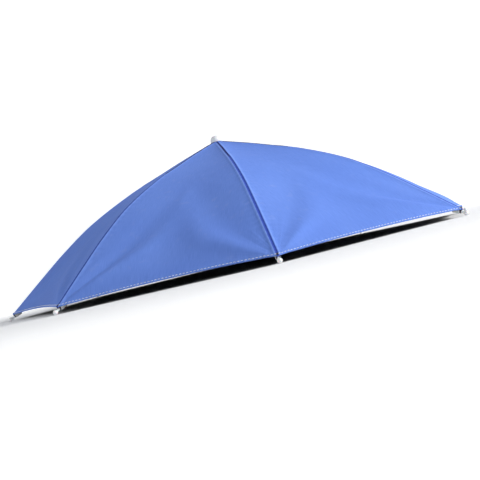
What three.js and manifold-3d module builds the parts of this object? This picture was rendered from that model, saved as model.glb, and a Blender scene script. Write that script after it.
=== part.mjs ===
// Umbrella hat: a folding rain and sun canopy on eight ribs, carried on the head by an elastic band.
// Millimetres, +Z up. The wearer looks along -Y. The hat stands on its eight rib tips at z = 0.
import * as THREE from 'three';
import { mergeVertices } from 'three/addons/utils/BufferGeometryUtils.js';
import Module from 'manifold-3d';

const wasm = await Module();
wasm.setup();

// Canopy
const ribCount = 8;
const canopyReach = 325; // axis to each cloth corner
const canopyRise = 170; // corners' level to the top of the cloth at the axis
const clothWall = 1;
const seamGap = 0.3; // between neighbouring panels
const panelSag = 4; // middle of a panel below its straight chord
const hemBow = 6; // middle of the hem, inwards of the corners
const hemLift = 2.5; // middle of the hem, above the corners
const foldDepth = 2.2; // tension fold from each corner into the panel
const foldWidth = 0.3; // of half the panel's width

// Ribs and their tips
const ribRadius = 1.5;
const ribStart = 8; // inner end, inside the hub
const tipBodyRadius = 2.7;
const tipBodyLength = 8.6;
const tipEndWall = 1.5; // solid end of the body, beyond the rib's bore
const tipInset = 3.6; // from a cloth corner back to the body's end
const tipLift = 14; // degrees that a tip turns up from the cloth's slope
const tipNeckRadius = 1.4;
const tipNeckLength = 4.8;
const tipBallRadius = 2.8;

// Hub and top cap
const hubRadius = 17;
const hubHeight = 15; // at its wall
const hubChamfer = 2;
const capRadius = 8;
const capHeight = 10; // above the cloth at its edge
const capStemRadius = 3;
const capStemLength = 6; // below the top of the cloth

// Headband
const bandSide = 77.6; // axis to the band's outer face, sideways
const bandFront = 98; // axis to the band's outer face, to the front and back
const bandTop = 47.8; // above the corners' level
const bandWidth = 20.4;
const bandWall = 1.6;

// Arms, rivets and clips between the hub and the headband
const armCount = 4;
const armWidth = 7.4;
const armWall = 1.6;
const armStart = 9; // inner end, inside the hub
const armSpacing = 3.6; // free height between a rib and the arm under it, at the hub
const eyeRadius = 4.5; // round ends at the rivet
const rivetShank = 1.1;
const rivetHeadRadius = 2.2;
const rivetHeadHeight = 0.9;
const clipLength = 20.5; // along the band
const clipWall = 1.5;

// Clearances
const clearance = 0.3; // between pieces that seat on each other
const ribClearance = 0.4; // between a rib and the cloth over it
const bandClearance = 0.4; // between the band and a clip's slot

// Share of the height that the cloth has dropped over a rib, by share of the reach
const ribLine = [
  { out: 0, drop: 0 },
  { out: 0.17, drop: 0.108 },
  { out: 0.26, drop: 0.170 },
  { out: 0.41, drop: 0.275 },
  { out: 0.60, drop: 0.447 },
  { out: 0.74, drop: 0.620 },
  { out: 0.86, drop: 0.792 },
  { out: 1, drop: 1 },
];

// An arm's line from the hub to its clip: out is a share of the way from the hub to the clip,
// drop a share of the way from the line under the rib to the clip's level
const armLine = [
  { out: 0, drop: 0 },
  { out: 0.2, drop: 0 },
  { out: 0.42, drop: 0 },
  { out: 0.7, drop: 0.01 },
  { out: 0.96, drop: 0.05 },
  { out: 1.13, drop: 0.14 },
  { out: 1.215, drop: 0.27 },
  { out: 1.24, drop: 0.43 },
  { out: 1.215, drop: 0.6 },
  { out: 1.15, drop: 0.77 },
  { out: 1.06, drop: 0.91 },
  { out: 1, drop: 1 },
];
const rivetPlace = 0.83; // share of the arm's line

// Counts for the faceted surfaces
const panelRows = 12;
const panelColumns = 8;
const ribSteps = 12;
const armSteps = 12;
const slotSteps = 2;
const bandSteps = 26; // for half of the band
const clipSteps = 2; // for half of a clip
const wireSteps = 3; // for half of a rib's section
const roundSides = 10;
const ballRings = 4;

const ribTurn = (2 * Math.PI) / ribCount;
const armTurn = (2 * Math.PI) / armCount;
const front = -Math.PI / 2;
const bandBottom = bandTop - bandWidth;

const finishes = {
  cloth: { color: 0x5068c8, roughness: 0.6, metalness: 0 },
  steel: { color: 0x17181b, roughness: 0.4, metalness: 0.8 },
  whitePlastic: { color: 0xe9ebee, roughness: 0.35, metalness: 0 },
  blackPlastic: { color: 0x121315, roughness: 0.5, metalness: 0 },
  elastic: { color: 0x0f1012, roughness: 0.85, metalness: 0 },
  rivet: { color: 0x9a9ca0, roughness: 0.3, metalness: 1 },
};

const hat = new THREE.Group();

function place(name, geometry, finish, turn = 0) {
  const mesh = new THREE.Mesh(geometry, new THREE.MeshStandardMaterial(finishes[finish]));
  mesh.name = name;
  mesh.rotation.z = turn;
  hat.add(mesh);
}

// Smooth curve through a table's rows
function slopeAt(rows, i) {
  const before = rows[Math.max(i - 1, 0)];
  const after = rows[Math.min(i + 1, rows.length - 1)];
  return (after.drop - before.drop) / (after.out - before.out);
}

function dropAt(rows, out) {
  let i = 0;
  while (i < rows.length - 2 && out > rows[i + 1].out) i += 1;
  const span = rows[i + 1].out - rows[i].out;
  const t = (out - rows[i].out) / span;
  const rise = t * t * (3 - 2 * t);
  const leave = t * (1 - t) * (1 - t) * span * slopeAt(rows, i);
  const arrive = t * t * (t - 1) * span * slopeAt(rows, i + 1);
  return rows[i].drop * (1 - rise) + rows[i + 1].drop * rise + leave + arrive;
}

// Height of the cloth's outer face over a rib, and how steeply it falls there
function clothHeight(radius) {
  return canopyRise * (1 - dropAt(ribLine, radius / canopyReach));
}

function steepness(radius) {
  const step = canopyReach / 100;
  return (clothHeight(radius - step) - clothHeight(radius + step)) / (2 * step);
}

// Height taken up on the slope by a thickness measured square to it
function upright(radius, thickness) {
  return thickness * Math.hypot(1, steepness(radius));
}

// Closed body between an outer and an inner face, both given on one grid
function sheetBody(rows, columns, pointAt) {
  const positions = [];
  const index = [];
  for (const face of [0, 1]) {
    for (let i = 0; i <= rows; i += 1) {
      for (let j = 0; j <= columns; j += 1) {
        positions.push(...pointAt(i / rows, (2 * j) / columns - 1, face));
      }
    }
  }
  const inner = (rows + 1) * (columns + 1);
  const at = (i, j) => i * (columns + 1) + j;
  const quad = (a, b, c, d) => index.push(a, b, c, a, c, d);
  for (let i = 0; i < rows; i += 1) {
    for (let j = 0; j < columns; j += 1) {
      quad(at(i, j), at(i + 1, j), at(i + 1, j + 1), at(i, j + 1));
      quad(inner + at(i, j), inner + at(i, j + 1), inner + at(i + 1, j + 1), inner + at(i + 1, j));
    }
    quad(at(i, 0), inner + at(i, 0), inner + at(i + 1, 0), at(i + 1, 0));
    quad(at(i + 1, columns), inner + at(i + 1, columns), inner + at(i, columns), at(i, columns));
  }
  for (let j = 0; j < columns; j += 1) {
    quad(at(0, j + 1), inner + at(0, j + 1), inner + at(0, j), at(0, j));
    quad(at(rows, j), inner + at(rows, j), inner + at(rows, j + 1), at(rows, j + 1));
  }
  const geometry = new THREE.BufferGeometry();
  geometry.setAttribute('position', new THREE.Float32BufferAttribute(positions, 3));
  geometry.setIndex(index);
  geometry.computeVertexNormals();
  return geometry;
}

// Smooth line that is cut into steps at its own points
class Route extends THREE.CatmullRomCurve3 {
  getPointAt(share, target) {
    return this.getPoint(share, target);
  }

  getTangentAt(share, target) {
    return this.getTangent(share, target);
  }
}

// Section carried along a line of points
function sweep(section, points) {
  return new THREE.ExtrudeGeometry(section, {
    steps: points.length - 1, extrudePath: new Route(points), curveSegments: wireSteps,
  });
}

function disc(radius) {
  return new THREE.Shape().absarc(0, 0, radius, 0, 2 * Math.PI);
}

// Flat strip's section: across is its width, low and high its two faces
function strip(across, low, high) {
  const shape = new THREE.Shape();
  shape.moveTo(-across / 2, low);
  shape.lineTo(across / 2, low);
  shape.lineTo(across / 2, high);
  shape.lineTo(-across / 2, high);
  return shape;
}

function lathe(rows, sides) {
  return new THREE.LatheGeometry(rows.map(([x, y]) => new THREE.Vector2(x, y)), sides);
}

// Joins and cuts
function solid(geometry) {
  const bare = geometry.clone();
  bare.deleteAttribute('normal');
  bare.deleteAttribute('uv');
  const merged = mergeVertices(bare, 1e-4);
  const corners = merged.index.array;
  const triVerts = [];
  for (let i = 0; i < corners.length; i += 3) {
    const [a, b, c] = corners.slice(i, i + 3);
    if (a !== b && b !== c && c !== a) triVerts.push(a, b, c);
  }
  return new wasm.Manifold(new wasm.Mesh({
    numProp: 3,
    vertProperties: merged.attributes.position.array,
    triVerts: new Uint32Array(triVerts),
  }));
}

function geometryOf(body) {
  const mesh = body.getMesh();
  const geometry = new THREE.BufferGeometry();
  geometry.setAttribute('position', new THREE.BufferAttribute(mesh.vertProperties, 3));
  geometry.setIndex(new THREE.BufferAttribute(mesh.triVerts, 1));
  geometry.computeVertexNormals();
  return geometry;
}

// Canopy panel between two ribs, drawn about the X axis
const clothStart = capStemRadius + clearance;

function panelPoint(u, v, face) {
  const radius = clothStart + (canopyReach - clothStart) * u;
  const middle = 1 - v * v;
  const hem = u ** 8;
  const halfWidth = radius * Math.sin(ribTurn / 2) - seamGap / 2 / Math.cos(ribTurn / 2);
  const x = radius * Math.cos(ribTurn / 2) - hemBow * middle * hem;
  const y = v * halfWidth;
  const foldRun = THREE.MathUtils.clamp((u - 0.45) / 0.55, 0, 1);
  const fold = Math.exp(-(((Math.abs(v) - foldRun) / foldWidth) ** 2)) * Math.sin(Math.PI * foldRun);
  const outer = clothHeight(radius) - panelSag * middle * 4 * u * (1 - u)
    + hemLift * middle * hem - foldDepth * fold * middle;
  return [x, y, outer - face * upright(radius, clothWall)];
}

const panel = sheetBody(panelRows, panelColumns, panelPoint);

// A tip's line: its body's outer end lies just under the cloth, inwards of the corner
const tipBoreDepth = tipBodyLength - tipEndWall;
const tipEnd = canopyReach - tipInset;
const tipSlope = Math.atan(steepness(tipEnd)) - THREE.MathUtils.degToRad(tipLift);
const tipBase = tipEnd - tipBodyLength * Math.cos(tipSlope);
const tipBaseHeight = clothHeight(tipEnd) + tipBodyLength * Math.sin(tipSlope)
  - upright(tipEnd, clothWall + ribClearance + tipBodyRadius);

// Rib: a wire under each seam that dips a little to enter its tip along the tip's line
const dipRun = 4 * tipBodyLength;
const dipStart = tipBase - dipRun;

function ribHeight(radius) {
  const close = upright(radius, clothWall + ribClearance + ribRadius);
  const t = THREE.MathUtils.clamp((radius - dipStart) / dipRun, 0, 1);
  const turn = dipRun * (Math.tan(tipSlope) - steepness(tipBase));
  const depth = THREE.MathUtils.lerp(close, clothHeight(tipBase) - tipBaseHeight, t * t * (3 - 2 * t));
  return clothHeight(radius) - depth - turn * t * t * (t - 1);
}

function ribPoints(from, to, count) {
  const points = [];
  for (let i = 0; i <= count; i += 1) {
    const radius = from + ((to - from) * i) / count;
    points.push(new THREE.Vector3(radius, 0, ribHeight(radius)));
  }
  return points;
}

const ribInTip = tipBoreDepth - clearance;
const ribLast = new THREE.Vector3(tipBase + ribInTip * Math.cos(tipSlope), 0,
  tipBaseHeight - ribInTip * Math.sin(tipSlope));
const rib = sweep(disc(ribRadius), [...ribPoints(ribStart, dipStart, ribSteps - 4),
  ...ribPoints(dipStart, tipBase, 4).slice(1), ribLast]);

// Rib tip: a sleeve on the rib's end, a neck for the corner's thread, and a ball
function tipGeometry() {
  const ballCentre = tipBodyLength + tipNeckLength + tipBallRadius;
  const boreRadius = ribRadius + clearance;
  const rows = [[0, tipBoreDepth], [boreRadius, tipBoreDepth], [boreRadius, 0], [tipBodyRadius, 0],
    [tipBodyRadius, tipBodyLength], [tipNeckRadius, tipBodyLength + clearance]];
  const neckAngle = Math.asin(tipNeckRadius / tipBallRadius);
  for (let i = 0; i <= ballRings; i += 1) {
    const angle = neckAngle + ((Math.PI - neckAngle) * i) / ballRings;
    rows.push([tipBallRadius * Math.sin(angle), ballCentre - tipBallRadius * Math.cos(angle)]);
  }
  rows[rows.length - 1][0] = 0;
  const geometry = lathe(rows, roundSides);
  geometry.rotateZ(-Math.PI / 2);
  geometry.rotateY(tipSlope);
  geometry.translate(tipBase, 0, tipBaseHeight);
  return geometry;
}

// Top cap: a button on the cloth with a stem down into the hub
const stemBottom = canopyRise - capStemLength;

function capGeometry() {
  const flange = clothHeight(capRadius) + clearance;
  const rows = [[0, stemBottom], [capStemRadius, stemBottom],
    [capStemRadius, clothHeight(capStemRadius) + clearance], [capRadius, flange]];
  for (let i = 0; i <= ballRings; i += 1) {
    const angle = (Math.PI / 2) * (i / ballRings);
    rows.push([capRadius * Math.cos(angle), flange + capHeight * (0.2 + 0.8 * Math.sin(angle))]);
  }
  rows[rows.length - 1][0] = 0;
  const geometry = lathe(rows, 2 * roundSides);
  geometry.rotateX(Math.PI / 2);
  return geometry;
}

// Arm's line, in the upright plane through the axis
const clipPlace = Math.hypot(bandSide, bandFront) / Math.SQRT2;
const bandRadius = (bandSide * bandFront) / clipPlace;
const clipEnd = new THREE.Vector2(bandRadius + bandClearance + clipWall / 2, bandTop + bandClearance);

function armTopHeight(radius) {
  const ribUnderside = ribHeight(radius) - upright(radius, ribRadius);
  return ribUnderside - upright(radius, armSpacing + armWall);
}

const armRoute = new THREE.CatmullRomCurve3(armLine.map(({ out, drop }) => {
  const radius = armStart + out * (clipEnd.x - armStart);
  const top = armTopHeight(radius);
  return new THREE.Vector3(radius, 0, top - drop * (top - clipEnd.y));
}));

function armPoints(from, to, count) {
  const points = [];
  for (let i = 0; i <= count; i += 1) {
    points.push(armRoute.getPointAt(from + ((to - from) * i) / count));
  }
  return points;
}

// A round piece through the arm's line at the rivet, from one face height to another
function atRivet(geometry, height) {
  const along = armRoute.getTangentAt(rivetPlace);
  const inward = new THREE.Vector3(along.z, 0, -along.x);
  geometry.applyQuaternion(new THREE.Quaternion().setFromUnitVectors(THREE.Object3D.DEFAULT_UP, inward));
  const place = armRoute.getPointAt(rivetPlace).addScaledVector(inward, height);
  geometry.translate(place.x, place.y, place.z);
  return geometry;
}

const armFace = clearance / 2;
const armMiddle = armFace + armWall / 2;
const rivetHole = solid(atRivet(
  new THREE.CylinderGeometry(rivetShank + clearance, rivetShank + clearance, 6 * armWall, roundSides), 0,
));

function eye(height) {
  return solid(atRivet(new THREE.CylinderGeometry(eyeRadius, eyeRadius, armWall, 2 * roundSides), height));
}

function armGeometry() {
  const line = armPoints(clearance / armRoute.getLength(), rivetPlace, armSteps);
  const body = solid(sweep(strip(armWidth, armFace, armFace + armWall), line));
  return geometryOf(body.add(eye(armMiddle)).subtract(rivetHole));
}

function rivetGeometry() {
  const half = armFace + armWall + clearance;
  const rows = [[0, -half - rivetHeadHeight], [rivetHeadRadius * 0.7, -half - rivetHeadHeight],
    [rivetHeadRadius, -half - rivetHeadHeight / 3], [rivetHeadRadius, -half], [rivetShank, -half],
    [rivetShank, half], [rivetHeadRadius, half], [rivetHeadRadius, half + rivetHeadHeight / 3],
    [rivetHeadRadius * 0.7, half + rivetHeadHeight], [0, half + rivetHeadHeight]];
  return atRivet(lathe(rows, roundSides), 0);
}

// Block that follows the band, from an outer to an inner offset of the band's outer face
function bandBlock(azimuth, half, outwards, inwards, low, high) {
  const middle = Math.atan2(Math.sin(azimuth) / bandFront, Math.cos(azimuth) / bandSide);
  const spread = half / Math.hypot(bandSide * Math.sin(middle), bandFront * Math.cos(middle));
  const shape = new THREE.Shape();
  shape.absellipse(0, 0, bandSide + outwards, bandFront + outwards,
    middle - spread, middle + spread, false, 0);
  shape.absellipse(0, 0, bandSide - inwards, bandFront - inwards,
    middle + spread, middle - spread, true, 0);
  const geometry = new THREE.ExtrudeGeometry(shape, {
    depth: high - low, bevelEnabled: false, curveSegments: clipSteps,
  });
  geometry.translate(0, 0, low);
  return solid(geometry);
}

function clipGeometry(azimuth) {
  const slotOut = bandClearance;
  const slotIn = bandWall + bandClearance;
  const shell = bandBlock(azimuth, clipLength / 2, slotOut + clipWall, slotIn + clipWall,
    bandBottom - bandClearance - clipWall, bandTop + bandClearance + clipWall);
  const slot = bandBlock(azimuth, clipLength, slotOut, slotIn,
    bandBottom - bandClearance, bandTop + bandClearance);
  const tongueSteps = Math.round(armSteps / 2);
  const line = armPoints(rivetPlace, 1, tongueSteps);
  const tongue = solid(sweep(strip(armWidth, -armFace - armWall, -armFace), line))
    .add(eye(-armMiddle)).subtract(rivetHole).rotate([0, 0, THREE.MathUtils.radToDeg(azimuth)]);
  return geometryOf(shell.add(tongue).subtract(slot));
}

function bandGeometry() {
  const shape = new THREE.Shape().absellipse(0, 0, bandSide, bandFront, 0, 2 * Math.PI);
  const hole = new THREE.Path();
  hole.absellipse(0, 0, bandSide - bandWall, bandFront - bandWall, 0, 2 * Math.PI, true);
  shape.holes.push(hole);
  const geometry = new THREE.ExtrudeGeometry(shape, {
    depth: bandWidth, bevelEnabled: false, curveSegments: bandSteps,
  });
  geometry.translate(0, 0, bandBottom);
  return geometry;
}

// Hub: a boss under the cloth with a slot for each rib and arm, and a bore for the cap's stem
function hubGeometry() {
  const under = (radius) => {
    const u = (radius / Math.cos(ribTurn / 2) - clothStart) / (canopyReach - clothStart);
    return panelPoint(u, 0, 1)[2] - upright(radius, clearance);
  };
  const bottom = under(hubRadius) - hubHeight;
  const bore = capStemRadius + clearance;
  const rows = [[0, bottom], [hubRadius - hubChamfer, bottom], [hubRadius, bottom + hubChamfer],
    [hubRadius, under(hubRadius)], [bore, under(bore)], [bore, stemBottom - clearance],
    [0, stemBottom - clearance]];
  const geometry = lathe(rows, 3 * ribCount);
  geometry.rotateX(Math.PI / 2);
  let body = solid(geometry);
  const ribSlot = solid(sweep(disc(ribRadius + clearance),
    ribPoints(ribStart - clearance, 2 * hubRadius, slotSteps)));
  const armSlot = solid(sweep(strip(armWidth + 2 * clearance, armFace - clearance,
    armFace + armWall + clearance), armPoints(0, rivetPlace / 4, slotSteps)));
  for (let i = 0; i < ribCount; i += 1) {
    body = body.subtract(ribSlot.rotate([0, 0, THREE.MathUtils.radToDeg(front + i * ribTurn)]));
  }
  for (let i = 0; i < armCount; i += 1) {
    body = body.subtract(armSlot.rotate([0, 0, THREE.MathUtils.radToDeg(front + (i + 0.5) * armTurn)]));
  }
  return geometryOf(body);
}

const tip = tipGeometry();
for (let i = 0; i < ribCount; i += 1) {
  const azimuth = front + i * ribTurn;
  place(`canopy_panel_${i + 1}`, panel, 'cloth', azimuth + ribTurn / 2);
  place(`rib_${i + 1}`, rib, 'steel', azimuth);
  place(`rib_tip_${i + 1}`, tip, 'whitePlastic', azimuth);
}

const arm = armGeometry();
const rivet = rivetGeometry();
for (let i = 0; i < armCount; i += 1) {
  const azimuth = front + (i + 0.5) * armTurn;
  place(`band_arm_${i + 1}`, arm, 'blackPlastic', azimuth);
  place(`arm_rivet_${i + 1}`, rivet, 'rivet', azimuth);
  place(`band_clip_${i + 1}`, clipGeometry(azimuth), 'blackPlastic');
}

place('crown_hub', hubGeometry(), 'blackPlastic');
place('top_cap', capGeometry(), 'whitePlastic');
place('headband', bandGeometry(), 'elastic');

// The tips' lowest points stand on the floor
hat.updateMatrixWorld(true);
hat.position.z = -new THREE.Box3().setFromObject(hat, true).min.z;

export default hat;
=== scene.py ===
# Umbrella hat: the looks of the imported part. Metres, +Z up, the hat's front towards -Y,
# and the hat stands on its eight rib tips at z = 0.
import math

import bpy
import numpy as np
from mathutils import Matrix, Vector


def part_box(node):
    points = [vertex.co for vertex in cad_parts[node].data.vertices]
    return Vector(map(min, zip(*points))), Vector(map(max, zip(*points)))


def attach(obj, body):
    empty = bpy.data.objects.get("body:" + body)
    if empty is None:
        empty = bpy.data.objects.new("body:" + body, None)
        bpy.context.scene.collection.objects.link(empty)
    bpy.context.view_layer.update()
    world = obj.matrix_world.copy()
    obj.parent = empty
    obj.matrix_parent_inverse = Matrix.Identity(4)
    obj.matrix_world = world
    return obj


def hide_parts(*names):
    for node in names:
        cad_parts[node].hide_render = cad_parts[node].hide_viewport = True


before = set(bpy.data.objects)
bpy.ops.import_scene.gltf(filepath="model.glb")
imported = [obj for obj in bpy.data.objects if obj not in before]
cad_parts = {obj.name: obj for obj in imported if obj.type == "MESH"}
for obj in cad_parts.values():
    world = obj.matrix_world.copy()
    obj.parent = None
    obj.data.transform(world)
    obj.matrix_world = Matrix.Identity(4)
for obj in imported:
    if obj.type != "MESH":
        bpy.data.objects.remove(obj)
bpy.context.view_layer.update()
scene = bpy.context.scene
print("frame loaded")

ribCount = 8
ribTurn = 2 * math.pi / ribCount
armCount = 4
front = -math.pi / 2


# Surfaces on a grid. A shell is a pair: its points (n, 3) and its triangles (m, 3).

def gridFaces(rows, columns, closedRows=False, closedColumns=False):
    # Two triangles for each cell of a grid of points; a closed direction joins its last line to
    # its first. Also gives each triangle corner's row and column, counted on past the join.
    i, j = np.meshgrid(np.arange(rows if closedRows else rows - 1),
                       np.arange(columns if closedColumns else columns - 1), indexing="ij")
    square = np.stack([i, j, i + 1, j, i + 1, j + 1, i, j + 1], -1).reshape(-1, 4, 2)
    places = square[:, [[0, 1, 2], [0, 2, 3]]].reshape(-1, 3, 2)
    faces = (places[..., 0] % rows) * columns + places[..., 1] % columns
    return faces, places


def insideOut(points, faces):
    # True where the faces look inwards, so that the shell's volume comes out negative
    a, b, c = (points[faces[:, k]] for k in range(3))
    return np.einsum("ij,ij->", a, np.cross(b, c)) < 0


def outwards(points, faces):
    return points, faces[:, ::-1] if insideOut(points, faces) else faces


def joined(shells):
    starts = np.cumsum([0] + [len(points) for points, _ in shells[:-1]])
    return (np.concatenate([points for points, _ in shells]),
            np.concatenate([faces + start for (_, faces), start in zip(shells, starts)]))


def turned(points, azimuth):
    # Turns points about the hat's axis
    cosine, sine = math.cos(azimuth), math.sin(azimuth)
    return points @ np.array([[cosine, sine, 0], [-sine, cosine, 0], [0, 0, 1]])


def turnedShell(shell, azimuth):
    return turned(shell[0], azimuth), shell[1]


def unit(vectors):
    return vectors / np.linalg.norm(vectors, axis=-1, keepdims=True)


def lengthsAlong(line):
    # Length walked from the line's first point to each of its points
    return np.append(0, np.cumsum(np.linalg.norm(np.diff(line, axis=0), axis=1)))


def readAt(walked, lengths, rows):
    # Values at other lengths along a line, from its rows of values
    return np.stack([np.interp(walked, lengths, column) for column in rows.T], -1)


def withFans(points, faces, rows, columns, ends):
    # Closes the first and last ring of a grid with a fan round each end's middle point
    around = np.arange(columns)
    onwards = (around + 1) % columns
    last = (rows - 1) * columns
    first = np.stack([np.full(columns, rows * columns), around, onwards], -1)
    final = np.stack([np.full(columns, rows * columns + 1), last + onwards, last + around], -1)
    return outwards(np.concatenate([points, ends]), np.concatenate([faces, first, final]))


def swept(path, across, up, section):
    # Section carried along a path: each point is path + first * across + second * up. The section
    # is (columns, 2), or (rows, columns, 2) where it changes on the way.
    section = np.broadcast_to(section, (len(path),) + section.shape[-2:])
    across, up = (np.broadcast_to(axis, path.shape) for axis in (across, up))
    points = path[:, None] + section[..., :1] * across[:, None] + section[..., 1:] * up[:, None]
    rows, columns = points.shape[:2]
    faces, _ = gridFaces(rows, columns, closedColumns=True)
    return withFans(points.reshape(-1, 3), faces, rows, columns, path[[0, -1]])


def openRings(profile, sides):
    # Profile of (radius, height) turned round Z, with both ends left open
    angle = np.arange(sides) * 2 * math.pi / sides
    points = np.stack([profile[:, :1] * np.cos(angle), profile[:, :1] * np.sin(angle),
                       np.broadcast_to(profile[:, 1:], (len(profile), sides))], -1)
    return points.reshape(-1, 3), gridFaces(len(profile), sides, closedColumns=True)[0]


def revolved(profile, sides):
    # The same, closed: the profile's first and last rows are the two poles
    ends = np.array([[0, 0, profile[0, 1]], [0, 0, profile[-1, 1]]])
    return withFans(*openRings(profile[1:-1], sides), len(profile) - 2, sides, ends)


def arc(centre, radius, start, end, count):
    # Points on a round stretch of a profile, from one angle to another in degrees
    angle = np.radians(np.linspace(start, end, count))
    return np.stack([centre[0] + radius * np.cos(angle), centre[1] + radius * np.sin(angle)], -1)


def roundedBox(halfWidth, halfHeight, corner):
    # Rectangle with round corners, middle at zero
    corners = [(1, 1, 0), (-1, 1, 90), (-1, -1, 180), (1, -1, 270)]
    return np.concatenate([arc((sx * (halfWidth - corner), sy * (halfHeight - corner)), corner,
                               start, start + 90, 5) for sx, sy, start in corners])


def disc(radius, sides):
    return arc((0, 0), radius, 0, 360 - 360 / sides, sides)


def bell(distance, middle, width):
    # A smooth hump of height 1
    return np.exp(-((distance - middle) / width) ** 2)


def eased(share):
    # From 0 to 1 with a level start and end
    share = np.clip(share, 0, 1)
    return share * share * (3 - 2 * share)


def makePiece(name, shell, materials, replaced=(), uv=None, faceMaterials=None,
              values=None):
    points, faces = shell
    mesh = bpy.data.meshes.new(name)
    mesh.vertices.add(len(points))
    mesh.vertices.foreach_set("co", points.astype(np.float32).ravel())
    mesh.loops.add(faces.size)
    mesh.loops.foreach_set("vertex_index", faces.astype(np.int32).ravel())
    mesh.polygons.add(len(faces))
    mesh.polygons.foreach_set("loop_start", np.arange(0, faces.size, 3, dtype=np.int32))
    mesh.update(calc_edges=True)
    for material in materials:
        mesh.materials.append(material)
    if faceMaterials is not None:
        mesh.polygons.foreach_set("material_index", faceMaterials.astype(np.int32))
    if uv is not None:
        mesh.uv_layers.new(name="cloth").data.foreach_set("uv", uv.astype(np.float32).ravel())
    for label, amounts in (values or {}).items():
        layer = mesh.attributes.new(label, "FLOAT", "POINT")
        layer.data.foreach_set("value", amounts.astype(np.float32).ravel())
    mesh.shade_smooth()
    mesh.set_sharp_from_angle(angle=math.radians(40))
    piece = bpy.data.objects.new(name, mesh)
    scene.collection.objects.link(piece)
    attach(piece, "root")
    if replaced:
        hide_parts(*replaced)
    return piece


# Camera, at the photo's angle round the hat and as low as the floor lets it be

cameraSettings = {
    "azimuth": -50.7,  # degrees round the hat
    "distance": 1.045,  # from the hat's axis
    "height": 0.022,
    "aimHeight": 0.035,
    "nearest": 0.01,  # clipping, for the floor just under the camera
    "lean": 13.5,  # degrees that the hat's axis leans to the left in the picture
    "lens": 55.96,
}


def addCamera():
    azimuth, lean = (math.radians(cameraSettings[k]) for k in ("azimuth", "lean"))
    spot = Vector((math.sin(azimuth), -math.cos(azimuth), 0)) * cameraSettings["distance"]
    spot.z = cameraSettings["height"]
    forward = (Vector((0, 0, cameraSettings["aimHeight"])) - spot).normalized()
    right = forward.cross(Vector((0, 0, 1))).normalized()
    up = right.cross(forward)
    leanedRight = right * math.cos(lean) - up * math.sin(lean)
    leanedUp = up * math.cos(lean) + right * math.sin(lean)
    camera = bpy.data.objects.new("camera", bpy.data.cameras.new("camera"))
    camera.data.lens = cameraSettings["lens"]
    camera.data.clip_start = cameraSettings["nearest"]
    turn = Matrix((leanedRight, leanedUp, -forward)).transposed()
    camera.matrix_world = Matrix.Translation(spot) @ turn.to_4x4()
    scene.collection.objects.link(camera)
    scene.camera = camera
    return right, forward


pictureRight, pictureForward = addCamera()


# Nodes

def wire(tree, socket, value):
    # Links a socket to an input, or sets the input to a plain value
    if isinstance(value, bpy.types.NodeSocket):
        tree.links.new(value, socket)
    else:
        socket.default_value = value


def node(tree, kind, inputs=None, **settings):
    made = tree.nodes.new("ShaderNode" + kind)
    for label, value in settings.items():
        setattr(made, label, value)
    for label, value in (inputs or {}).items():
        wire(tree, made.inputs[label], value)
    return made


def calculate(tree, operation, *values):
    made = tree.nodes.new("ShaderNodeMath")
    made.operation = operation
    for k, value in enumerate(values):
        wire(tree, made.inputs[k], value)
    return made.outputs[0]


def product(tree, *values):
    return calculate(tree, "MULTIPLY", *values)


def total(tree, *values):
    result = values[0]
    for value in values[1:]:
        result = calculate(tree, "ADD", result, value)
    return result


def mapped(tree, value, fromLow, fromHigh, toLow=0, toHigh=1, smooth=False):
    made = node(tree, "MapRange", {"Value": value, "From Min": fromLow, "From Max": fromHigh,
                                   "To Min": toLow, "To Max": toHigh}, clamp=True)
    made.interpolation_type = "SMOOTHSTEP" if smooth else "LINEAR"
    return made.outputs["Result"]


def noise(tree, vector, scale, detail, **inputs):
    inputs.update({"Vector": vector, "Scale": scale, "Detail": detail})
    return node(tree, "TexNoise", inputs).outputs["Fac"]


def mixed(tree, amount, first, second):
    made = tree.nodes.new("ShaderNodeMix")
    made.data_type = "RGBA"
    wire(tree, made.inputs[0], amount)
    wire(tree, made.inputs[6], first)
    wire(tree, made.inputs[7], second)
    return made.outputs[2]


def shaderGroup(name, inputs, outputs, build):
    # A group with named inputs {name: (kind, value)} and outputs {name: kind}. build gets the
    # tree and its inputs, and returns a socket for each output.
    tree = bpy.data.node_groups.new(name, "ShaderNodeTree")
    for label, (kind, value) in inputs.items():
        socket = tree.interface.new_socket(label, in_out="INPUT", socket_type="NodeSocket" + kind)
        if value is not None:
            socket.default_value = value
    for label, kind in outputs.items():
        tree.interface.new_socket(label, in_out="OUTPUT", socket_type="NodeSocket" + kind)
    entry = tree.nodes.new("NodeGroupInput")
    leave = tree.nodes.new("NodeGroupOutput")
    results = build(tree, {label: entry.outputs[label] for label in inputs})
    for label, socket in results.items():
        tree.links.new(socket, leave.inputs[label])
    return tree


def grouped(tree, group, **inputs):
    # Places a group; its inputs are given by name, in camelCase for "Two Words"
    made = tree.nodes.new("ShaderNodeGroup")
    made.node_tree = group
    for socket in made.inputs:
        plain = socket.name.replace(" ", "")
        key = plain[0].lower() + plain[1:]
        if key in inputs:
            wire(tree, socket, inputs[key])
    return made.outputs


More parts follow.
